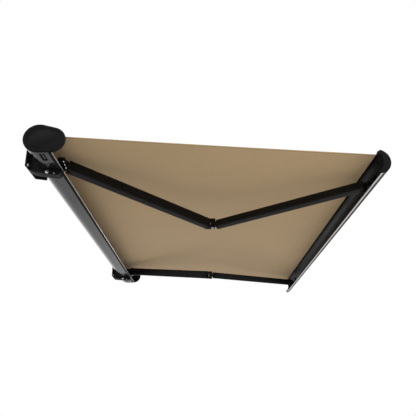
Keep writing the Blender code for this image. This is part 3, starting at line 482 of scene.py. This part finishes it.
def cloth_material(name, colour, pitch, use_uv=True):
    """Spun-dyed awning cloth: a fine plain weave with uneven yarn and a soft drift of shade."""
    if name in bpy.data.materials:
        return bpy.data.materials[name]
    made, tree, shader, place = new_material(name)
    spot = node(tree, "TexCoord").outputs["UV"] if use_uv else place
    threads = use_group(tree, weave_group(), {"Vector": spot, "Pitch": pitch})
    tone = drifting(tree, shader, place, colour, 0.9, 0.22, 0.88)
    slubs_across = node(tree, "Mapping", {"Vector": spot, "Scale": (0.04, 1.0, 1.0)})
    slubs = node(tree, "TexNoise", {"Vector": slubs_across.outputs[0], "Scale": 500.0, "Detail": 1.0})
    yarn = node(tree, "MapRange", {"Value": slubs.outputs["Fac"], "To Min": 0.88, "To Max": 1.12})
    shaded = node(tree, "HueSaturation", {"Color": tone, "Value": yarn.outputs["Result"]})
    deeper = tuple(part * 0.86 for part in colour)
    weft = math_node(tree, "MULTIPLY", math_node(tree, "SUBTRACT", 1.0, threads["Warp"]), 0.5)
    woven = mixed_colour(tree, weft, shaded.outputs[0], (*deeper, 1))
    feed(tree, shader, {"Base Color": woven, "Specular IOR Level": 0.15})
    feed(tree, shader, {"Sheen Weight": 0.15, "Sheen Roughness": 0.5})
    bump(tree, shader, threads["Height"], 0.0003, 0.35)
    return made


def hem_material(colour, pitch, width):
    """Hem cloth: a paler band at the folded edge, painted highlight for the light the folded edge catches,
    a row of stitches and a dark grey band along the inner edge. U runs in from the edge.
    """
    if "hem_cloth" in bpy.data.materials:
        return bpy.data.materials["hem_cloth"]
    # Where the painted highlight at the folded edge ends, where the stitches run and where the dark inner
    # band starts
    fold_highlight_width, row, inner_band_start = width * 0.25, width * 0.6, width * 0.84
    stitch_half_width, stitch_pitch, stitch_share = 0.0009, 0.0045, 0.72
    made, tree, shader, place = new_material("hem_cloth")
    spot = node(tree, "TexCoord").outputs["UV"]
    parts = node(tree, "SeparateXYZ", {0: spot})
    threads = use_group(tree, weave_group(), {"Vector": spot, "Pitch": pitch})
    off = math_node(tree, "ABSOLUTE", math_node(tree, "SUBTRACT", parts.outputs["X"], row))
    in_row = math_node(tree, "LESS_THAN", off, stitch_half_width)
    step = math_node(tree, "FRACT", math_node(tree, "DIVIDE", parts.outputs["Y"], stitch_pitch))
    stitch = math_node(tree, "MULTIPLY", in_row, math_node(tree, "LESS_THAN", step, stitch_share))
    # Painted highlight: the band next to the folded edge is made paler, for the light that edge catches
    light = math_node(tree, "LESS_THAN", parts.outputs["X"], fold_highlight_width)
    # A darker band from here in to the hem's inner edge
    dark = math_node(tree, "GREATER_THAN", parts.outputs["X"], inner_band_start)
    tone = drifting(tree, shader, place, colour, 2.0, 0.2, 0.85)
    # The paler colour of the painted highlight at the folded edge
    fold_highlight_colour = tuple(min(1.0, part * 1.35) for part in colour)
    # Paler where the stitches run, in the thread's own colour, and where the painted highlight lies
    bright = math_node(tree, "MAXIMUM", stitch, light)
    fold_highlighted = mixed_colour(tree, bright, tone, (*fold_highlight_colour, 1))
    # The dark grey band along the hem's inner edge
    inner_banded = mixed_colour(tree, dark, fold_highlighted, (0.12, 0.105, 0.085, 1))
    feed(tree, shader, {"Base Color": inner_banded, "Specular IOR Level": 0.15})
    raised = math_node(tree, "ADD", threads["Height"], math_node(tree, "MULTIPLY", stitch, 3.0))
    bump(tree, shader, raised, 0.0003, 0.4)
    return made


# Settings


class AwningClothSettings(bpy.types.PropertyGroup):
    """Sizes and colours of the cloth."""

    colour: FloatVectorProperty(
        name="Cloth colour",
        description="Colour of the yarn",
        subtype="COLOR",
        size=3,
        default=(0.405, 0.285, 0.152),
    )
    hem_colour: FloatVectorProperty(
        name="Hem colour",
        description="Colour of the folded hems",
        subtype="COLOR",
        size=3,
        default=(0.405, 0.285, 0.152),
    )
    sag: FloatProperty(name="Sag", description="Depth of the sag in mid-span", default=0.008, unit="LENGTH")
    thickness: FloatProperty(
        name="Thickness", description="Thickness of the cloth", default=0.0006, unit="LENGTH"
    )
    hem_width: FloatProperty(
        name="Hem width", description="Width of the side hems", default=0.016, unit="LENGTH"
    )
    pitch: FloatProperty(
        name="Thread pitch", description="Distance between threads", default=0.0012, unit="LENGTH"
    )
    columns: IntProperty(name="Columns", description="Faces across the cloth", default=68)
    rows: IntProperty(name="Rows", description="Faces from the roller to the bar", default=46)


class AwningFinishSettings(bpy.types.PropertyGroup):
    """Colours of the metal parts."""

    casting: FloatVectorProperty(
        name="Castings",
        description="Coat of the arms and brackets",
        subtype="COLOR",
        size=3,
        default=(0.005, 0.005, 0.0052),
    )
    shell: FloatVectorProperty(
        name="Caps and bar",
        description="Coat of the end caps and front bar",
        subtype="COLOR",
        size=3,
        default=(0.004, 0.004, 0.0042),
    )
    housing: FloatVectorProperty(
        name="Housing",
        description="Metallic coat of the housing",
        subtype="COLOR",
        size=3,
        default=(0.091, 0.091, 0.093),
    )
    trim: FloatVectorProperty(
        name="Trim", description="Pale lip strips", subtype="COLOR", size=3, default=(0.62, 0.62, 0.63)
    )
    steel: FloatVectorProperty(
        name="Fasteners", description="Bright screws", subtype="COLOR", size=3, default=(0.78, 0.78, 0.79)
    )
    edge: FloatProperty(
        name="Edge radius", description="Rounding of the castings' edges", default=0.0011, unit="LENGTH"
    )


class AwningStageSettings(bpy.types.PropertyGroup):
    """The studio and its camera."""

    camera: FloatVectorProperty(
        name="Camera",
        description="Where the camera stands",
        subtype="XYZ",
        size=3,
        default=(-4.3297, -1.2799, -1.6626),
    )
    yaw: FloatProperty(
        name="Yaw", description="Turn from the X axis", subtype="ANGLE", default=math.radians(-0.319)
    )
    pitch: FloatProperty(
        name="Pitch", description="Upward tilt", subtype="ANGLE", default=math.radians(15.97)
    )
    lens: FloatProperty(name="Lens", description="Focal length in millimetres", default=37.52)
    shift: FloatProperty(name="Shift", description="Vertical shift of the lens", default=0.15)
    floor: FloatProperty(name="Floor", description="Height of the floor", default=-2.6, unit="LENGTH")
    ambient: FloatProperty(name="Ambient", description="Strength of the surrounding light", default=0.75)


def settings():
    return bpy.context.scene.awning_cloth, bpy.context.scene.awning_finish, bpy.context.scene.awning_stage


def casting_coat():
    return coat_material("black_coat", settings()[1].casting, 0.42, 0.10)


def tube_coat():
    return coat_material("arm_coat", settings()[1].casting, 0.30, 0.15)


def shell_coat():
    return coat_material("shell_coat", settings()[1].shell, 0.38, 0.06)


def cap_coat():
    return coat_material("cap_coat", settings()[1].shell, 0.42, 0.11)


def window_coat():
    return coat_material("window_coat", settings()[1].shell, 0.7, 0.0)


def housing_coat():
    return metal_material("housing_coat", settings()[1].housing, 0.14, metallic=0.9)


def trim_metal():
    return metal_material("pale_trim", settings()[1].trim, 0.3, lines=900.0)


def screw_steel():
    return metal_material("screw_steel", settings()[1].steel, 0.22, lines=2500.0, line_tint=0.06)


# Operators


class AWNING_OT_cloth(bpy.types.Operator):
    """Stretch the cloth from the roller to the front bar, with its hems"""

    bl_idname = "awning.cloth"
    bl_label = "Cloth"

    hem_columns = 2
    hem_lift = -0.0009
    pocket_thickness = 0.00015
    pocket_overhang = 0.001

    def execute(self, context):
        cloth, _, _ = settings()
        width = CLOTH_HIGH.x - CLOTH_LOW.x
        sheet = self.sheet("awning_cloth", width, CLOTH_LOW.x, cloth.columns, 0.0)
        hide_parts("fabric_cover")
        hems = []
        for name, start in (("left_hem", CLOTH_LOW.x), ("right_hem", CLOTH_HIGH.x - cloth.hem_width)):
            hems.append(self.sheet(name, cloth.hem_width, start, self.hem_columns, self.hem_lift))
        for piece in (sheet, *hems):
            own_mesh(piece)
        self.pocket()
        return {"FINISHED"}

    def sheet(self, name, width, start, columns, lift):
        """One strip of cloth from the roller to the bar, with its UVs in metres.

        A strip that is lifted off the cloth is a hem, and its U runs in from the cloth's edge.
        """
        cloth, _, _ = settings()
        fall = (CLOTH_FRONT - CLOTH_REAR).normalized()
        upward = upright(fall)
        bm = bmesh.new()
        bmesh.ops.create_grid(bm, x_segments=columns, y_segments=cloth.rows, size=0.5)
        layer = bm.loops.layers.uv.new("cloth_uv")
        for face in bm.faces:
            for loop in face.loops:
                across = (loop.vert.co.x + 0.5) * width
                if lift and start > 0:
                    across = width - across
                loop[layer].uv = (across, (loop.vert.co.y + 0.5) * CLOTH_LENGTH)
        for vert in bm.verts:
            along = vert.co.y + 0.5
            across = start + (vert.co.x + 0.5) * width
            reach = (across - CLOTH_LOW.x) / (CLOTH_HIGH.x - CLOTH_LOW.x)
            dip = cloth.sag * math.sin(math.pi * along) * (0.35 + 0.65 * math.sin(math.pi * reach))
            rise = upward * (lift - dip)
            vert.co = CLOTH_REAR + fall * (along * CLOTH_LENGTH) + rise + Vector((across, 0, 0))
        bmesh.ops.recalc_face_normals(bm, faces=bm.faces)
        bmesh.ops.solidify(bm, geom=bm.faces[:], thickness=cloth.thickness)
        look = cloth_material("awning_weave", cloth.colour, cloth.pitch)
        if lift:
            look = hem_material(cloth.hem_colour, cloth.pitch, cloth.hem_width)
        return finish_piece(name, bm, look, "cassette", 60.0)

    def pocket(self):
        """The sleeve of cloth round the keder rod."""
        cloth, _, _ = settings()
        low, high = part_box("keder_rod")
        centre = (low + high) / 2
        radius = (high.z - low.z) / 2 + self.pocket_thickness
        bm = bmesh.new()
        bmesh.ops.create_circle(bm, cap_ends=True, segments=24, radius=radius)
        turn = Matrix.Rotation(math.radians(90), 4, "Y")
        turn = Matrix.Translation((low.x - self.pocket_overhang, centre.y, centre.z)) @ turn
        bmesh.ops.transform(bm, matrix=turn, verts=bm.verts)
        ends = new_verts(bmesh.ops.extrude_face_region(bm, geom=bm.faces[:]))
        length = high.x - low.x + 2 * self.pocket_overhang
        bmesh.ops.translate(bm, vec=(length, 0, 0), verts=ends)
        look = cloth_material("rolled_weave", cloth.colour, cloth.pitch, use_uv=False)
        piece = finish_piece("keder_pocket", bm, look, "front_bar")
        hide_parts("keder_rod")


class AWNING_OT_cassette(bpy.types.Operator):
    """Finish the housing, its end caps, trims and setting window"""

    bl_idname = "awning.cassette"
    bl_label = "Cassette"

    rim_width = 0.022
    rim_depth = 0.009
    rim_turn = 0.88
    groove_margin = 0.0012
    groove_width = 0.0024
    groove_depth = 0.0014
    slot_plate = 0.0010
    slot_set_in = 0.0004
    screw_in = 0.008

    def execute(self, context):
        coat("cassette_housing", housing_coat())
        coat("lower_lip_trim", shell_coat())
        coat("lip_brush_seal", brush_material())
        coat("setting_window_plate", window_coat())
        # A light-grey metal strip over the lip's lower edge: painted highlight, for the light that edge
        # catches
        low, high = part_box("lower_lip_trim")
        corner = (high.x, low.y + LIP_EDGE, low.z + LIP_EDGE)
        start = (low.x, low.y - STRIP_PROUD, low.z - STRIP_PROUD)
        strip("lip_edge_painted_highlight", start, corner, LIP_EDGE / 4, trim_metal(), "cassette")
        self.window()
        for side, sign in SIDES:
            coat(f"{side}_end_plate", zinc_material())
            self.end_cap(side, sign)
        return {"FINISHED"}

    def window(self):
        """The light oval plate in the setting window's slot, and the small screw beside it."""
        low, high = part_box("setting_window_plate")
        middle = (low + high) / 2
        bm = bmesh.new()
        bmesh.ops.create_circle(bm, cap_ends=True, segments=32, radius=SLOT_RADIUS)
        for vert in bm.verts:
            vert.co.x += math.copysign(SLOT_HALF, vert.co.x)
        raised = new_verts(bmesh.ops.extrude_face_region(bm, geom=bm.faces[:]))
        bmesh.ops.translate(bm, vec=(0, 0, self.slot_plate), verts=raised)
        place = (middle.x, middle.y, low.z + self.slot_set_in)
        bmesh.ops.translate(bm, vec=place, verts=bm.verts)
        finish_piece("window_slot_plate", bm, housing_coat(), "cassette")
        seat = Vector((low.x + self.screw_in, middle.y, low.z))
        bm = stood(socket_screw(*WINDOW_SCREW), seat, (0, 0, -1))
        finish_piece("window_screw", bm, plastic_material(), "cassette")

    def end_cap(self, side, sign):
        """The cap with a broad sloping rim and a shadow line round its flat face."""
        bm = merged_copy(f"{side}_end_cap")
        outward = Vector((sign, 0, 0))
        self.slope(bm, end_face(bm, outward), sign)
        face = end_face(bm, outward)
        groove(bm, face, self.groove_margin, self.groove_width, self.groove_depth)
        name = f"{side}_end_cap_dressed"
        piece = finish_piece(name, bm, cap_coat(), "cassette", 30.0)
        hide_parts(f"{side}_end_cap")

    def slope(self, bm, face, sign):
        """Widens the CAD's rounded edge into one straight slope that ends further in."""
        outermost = face.verts[0].co.x
        outline = set(face.verts)
        edge = [v for v in bm.verts if WELD < (outermost - v.co.x) * sign < self.rim_depth - WELD]
        inset(bm, face, self.rim_width - self.rim_depth)
        for vert in edge:
            vert.co.x = outermost - sign * self.rim_depth * self.rim_turn
        for vert in outline:
            vert.co.x = outermost - sign * self.rim_depth * (1 - self.rim_depth / self.rim_width)


class AWNING_OT_brackets(bpy.types.Operator):
    """Round the wall brackets' edges and fit their screws"""

    bl_idname = "awning.brackets"
    bl_label = "Wall brackets"

    def execute(self, context):
        _, finish, _ = settings()
        for side, _ in SIDES:
            softened(f"{side}_wall_bracket", finish.edge * 1.6, casting_coat())
            for kind, axis in (
                ("cradle_bolt", (-1, 0, 0)),
                ("clamp_screw", (-1, 0, 0)),
                ("wall_bolt", (0, -1, 0)),
            ):
                self.screw(f"{side}_{kind}", Vector(axis))
        return {"FINISHED"}

    def screw(self, name, axis):
        """A socket screw in the place of the CAD's bolt."""
        low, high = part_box(name)
        centre = (low + high) / 2
        if axis.x:
            seat = Vector((low.x + HEAD_HEIGHT, centre.y, centre.z))
        else:
            seat = Vector((centre.x, low.y + HEAD_HEIGHT, centre.z))
        head = (high.z - low.z) / 2 - BOLT_WASHER
        bm = stood(socket_screw(head, HEAD_HEIGHT, BOLT_WASHER, BOLT_SHANK), seat, axis)
        look = zinc_material() if "clamp" in name else screw_steel()
        piece = finish_piece(f"{name}_dressed", bm, look, "cassette")
        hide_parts(name)


class AWNING_OT_roller(bpy.types.Operator):
    """Finish the roller, its drive and the turns of cloth on it"""

    bl_idname = "awning.roller"
    bl_label = "Roller"

    def execute(self, context):
        cloth, _, _ = settings()
        coat("roller_tube", zinc_material())
        for moulded in ("idler_plug", "drive_crown", "tubular_motor"):
            coat(moulded, plastic_material())
        coat("wound_fabric", cloth_material("rolled_weave", cloth.colour, cloth.pitch, use_uv=False))
        return {"FINISHED"}


class AWNING_OT_shoulders(bpy.types.Operator):
    """Finish the shoulder mounts and forks, and fit their bright screws"""

    bl_idname = "awning.shoulders"
    bl_label = "Shoulders"

    screw_places = (0.030, 0.062, 0.094)
    screw_ahead = 0.030
    screw_face = 0.051

    def execute(self, context):
        _, finish, _ = settings()
        for side, _ in SIDES:
            softened(f"{side}_shoulder_mount", finish.edge, casting_coat())
            softened(f"{side}_shoulder_fork", finish.edge * 0.7, casting_coat())
            coat(f"{side}_spigot_ring", zinc_material())
            coat(f"{side}_shoulder_pin", zinc_material())
            self.screws(side)
        return {"FINISHED"}

    def screws(self, side):
        """Three bright screws in a row under the fork's wing."""
        hinge = JOINTS[f"{side}_shoulder_hinge"]
        pivot, upward = Vector(hinge["pos_m"]), Vector(hinge["axis"]).normalized()
        outboard = ALONG.cross(upward)
        outboard = outboard if outboard.x * pivot.x > 0 else -outboard
        for number, beside in enumerate(self.screw_places):
            seat = pivot + ALONG * self.screw_ahead + outboard * beside - upward * self.screw_face
            bm = stood(socket_screw(*SHOULDER_SCREW), seat, -upward)
            name = f"{side}_shoulder_screw_{number}"
            finish_piece(name, bm, screw_steel(), f"{side}_shoulder")


class AWNING_OT_arms(bpy.types.Operator):
    """Finish the arms, their castings and pins"""

    bl_idname = "awning.arms"
    bl_label = "Arms"

    def execute(self, context):
        _, finish, _ = settings()
        for side, _ in SIDES:
            for tube in ("upper_arm_tube", "forearm_tube"):
                coat(f"{side}_{tube}", tube_coat())
            for casting in ("shoulder_casting", "elbow_fork", "elbow_eye", "front_casting"):
                softened(f"{side}_{casting}", finish.edge, casting_coat())
            for steel in ("arm_spring", "arm_cable", "elbow_pin", "front_pin"):
                coat(f"{side}_{steel}", zinc_material())
            softened(f"{side}_front_fork", finish.edge * 0.5, casting_coat())
        return {"FINISHED"}


class AWNING_OT_front_bar(bpy.types.Operator):
    """Finish the front bar, its caps and its pale lip strip"""

    bl_idname = "awning.front_bar"
    bl_label = "Front bar"

    black_edge_width = 0.009
    black_edge_radius = 0.0010
    mount_ahead = 0.0303
    # Each mount screw's share of the mount's width, and how far it is below the pivot
    screw_places = ((0.12, 0.020), (0.12, -0.004), (0.88, 0.020))

    def execute(self, context):
        _, finish, _ = settings()
        coat("front_bar_profile", shell_coat())
        coat("front_lip_strip", trim_metal())
        low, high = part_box("front_lip_strip")
        corner = (high.x, low.y + self.black_edge_width, high.z)
        start = (low.x, low.y - STRIP_PROUD, low.z - STRIP_PROUD)
        radius = self.black_edge_radius
        strip("lip_black_edge", start, corner, radius, shell_coat(), "front_bar")
        for side, _ in SIDES:
            softened(f"{side}_bar_mount", finish.edge, casting_coat())
            softened(f"{side}_bar_end_cap", finish.edge * 0.5, shell_coat())
            self.mount_screws(side)
        return {"FINISHED"}

    def mount_screws(self, side):
        """Three small screws on the back of the mount, beside the fork."""
        low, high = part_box(f"{side}_bar_mount")
        pivot = Vector(JOINTS[f"{side}_front_roll"]["pos_m"])
        upward = upright(ALONG)
        for number, (share, down) in enumerate(self.screw_places):
            back = pivot + ALONG * self.mount_ahead - upward * down
            seat = Vector((low.x + (high.x - low.x) * share, back.y, back.z))
            bm = stood(socket_screw(*MOUNT_SCREW), seat, -ALONG)
            name = f"{side}_mount_screw_{number}"
            finish_piece(name, bm, zinc_material(), "front_bar")


class AWNING_OT_stage(bpy.types.Operator):
    """Set up the floor, the soft lights, the white surroundings and the camera"""

    bl_idname = "awning.stage"
    bl_label = "Studio"

    # Name, place, target, width across and watts
    lamps = (
        ("key_light", (-3.5, -6.0, 3.5), (0, -1.2, 0), 3.0, 260),
        ("under_light", (-4.5, -2.6, -2.3), (0, -1.2, -0.1), 2.0, 25),
        ("far_light", (4.2, -0.3, -2.0), (1.2, -0.2, -0.1), 1.6, 22),
    )
    floor_half = 30
    fade_from, fade_to, nearest_glow = 4.0, 9.0, 0.55

    def execute(self, context):
        _, _, stage = settings()
        self.floor(stage)
        self.world(stage)
        for lamp in self.lamps:
            self.lamp(*lamp)
        self.camera(stage)
        context.scene.view_settings.view_transform = "Standard"
        return {"FINISHED"}

    def floor(self, stage):
        """A matte floor that fades into the white round it, and is clear from below."""
        bm = bmesh.new()
        bmesh.ops.create_grid(bm, x_segments=1, y_segments=1, size=self.floor_half)
        bmesh.ops.translate(bm, vec=(0, 0, stage.floor), verts=bm.verts)
        mesh = bpy.data.meshes.new("studio_floor")
        bm.to_mesh(mesh)
        bm.free()
        floor = bpy.data.objects.new("studio_floor", mesh)
        bpy.context.scene.collection.objects.link(floor)
        look = bpy.data.materials.new("studio_white")
        look.use_nodes = True
        tree = look.node_tree
        tree.nodes.clear()
        grain = node(tree, "TexNoise", {"Scale": 40.0})
        tone = node(tree, "MapRange", {"Value": grain.outputs["Fac"], "To Min": 0.83, "To Max": 0.87})
        matte = node(tree, "BsdfDiffuse", {"Color": tone.outputs["Result"]})
        glow = node(tree, "Emission", {"Strength": 1.0})
        seen = node(tree, "LightPath")
        place = node(tree, "TexCoord").outputs["Object"]
        away = node(tree, "VectorMath", {0: place}, operation="LENGTH")
        span = {"From Min": self.fade_from, "From Max": self.fade_to, "To Min": self.nearest_glow}
        fade = node(tree, "MapRange", {"Value": away.outputs["Value"], **span})
        share = math_node(tree, "MULTIPLY", seen.outputs["Is Camera Ray"], fade.outputs["Result"])
        top = node(tree, "MixShader", {0: share, 1: matte.outputs[0], 2: glow.outputs[0]})
        clear = node(tree, "BsdfTransparent")
        back = node(tree, "NewGeometry")
        sides = {0: back.outputs["Backfacing"], 1: top.outputs[0], 2: clear.outputs[0]}
        both = node(tree, "MixShader", sides)
        node(tree, "OutputMaterial", {"Surface": both.outputs[0]})
        mesh.materials.append(look)

    def world(self, stage):
        """White where it is seen, and soft grey where it lights the awning."""
        world = bpy.data.worlds.new("studio_world")
        bpy.context.scene.world = world
        world.use_nodes = True
        tree = world.node_tree
        tree.nodes.clear()
        path = node(tree, "LightPath")
        direct = math_node(tree, "MAXIMUM", path.outputs["Is Camera Ray"], path.outputs["Is Glossy Ray"])
        seen = math_node(tree, "MAXIMUM", direct, path.outputs["Is Transmission Ray"])
        strength = node(tree, "MapRange", {"Value": seen, "To Min": stage.ambient, "To Max": 1.0})
        sky = node(tree, "Background", {"Color": (1, 1, 1, 1), "Strength": strength.outputs["Result"]})
        node(tree, "OutputWorld", {"Surface": sky.outputs[0]})

    def lamp(self, name, place, target, size, energy):
        """A round soft lamp that points at its target."""
        light = bpy.data.lights.new(name, "AREA")
        light.shape = "DISK"
        light.size = size
        light.energy = energy
        lamp = bpy.data.objects.new(name, light)
        bpy.context.scene.collection.objects.link(lamp)
        lamp.location = place
        lamp.rotation_euler = (Vector(target) - Vector(place)).to_track_quat("-Z", "Y").to_euler()

    def camera(self, stage):
        """The camera at the photo's viewing angle."""
        data = bpy.data.cameras.new("camera")
        data.lens = stage.lens
        data.sensor_width = 36.0
        data.shift_y = stage.shift
        camera = bpy.data.objects.new("camera", data)
        bpy.context.scene.collection.objects.link(camera)
        flat = math.cos(stage.pitch)
        ahead = Vector((flat * math.cos(stage.yaw), flat * math.sin(stage.yaw), math.sin(stage.pitch)))
        camera.location = stage.camera
        camera.rotation_euler = ahead.to_track_quat("-Z", "Y").to_euler()
        bpy.context.scene.camera = camera


class AWNING_PT_panel(bpy.types.Panel):
    """The steps that dress the awning, in order"""

    bl_label = "Awning"
    bl_idname = "AWNING_PT_panel"
    bl_space_type = "VIEW_3D"
    bl_region_type = "UI"
    bl_category = "Awning"

    def draw(self, context):
        column = self.layout.column()
        for step in STEPS:
            column.operator(step.bl_idname)
        for group in (context.scene.awning_cloth, context.scene.awning_finish, context.scene.awning_stage):
            box = self.layout.box()
            for name in group.__annotations__:
                box.prop(group, name)


STEPS = (
    AWNING_OT_cassette,
    AWNING_OT_brackets,
    AWNING_OT_roller,
    AWNING_OT_cloth,
    AWNING_OT_shoulders,
    AWNING_OT_arms,
    AWNING_OT_front_bar,
    AWNING_OT_stage,
)
GROUPS = (
    ("awning_cloth", AwningClothSettings),
    ("awning_finish", AwningFinishSettings),
    ("awning_stage", AwningStageSettings),
)


def register():
    for name, group in GROUPS:
        bpy.utils.register_class(group)
        setattr(bpy.types.Scene, name, PointerProperty(type=group))
    for cls in (*STEPS, AWNING_PT_panel):
        bpy.utils.register_class(cls)


def unregister():
    for cls in (AWNING_PT_panel, *reversed(STEPS)):
        bpy.utils.unregister_class(cls)
    for name, group in reversed(GROUPS):
        delattr(bpy.types.Scene, name)
        bpy.utils.unregister_class(group)


def main():
    register()
    bpy.ops.awning.cassette()
    bpy.ops.awning.brackets()
    bpy.ops.awning.roller()
    bpy.ops.awning.cloth()
    bpy.ops.awning.shoulders()
    bpy.ops.awning.arms()
    bpy.ops.awning.front_bar()
    bpy.ops.awning.stage()


if __name__ == "__main__":
    main()
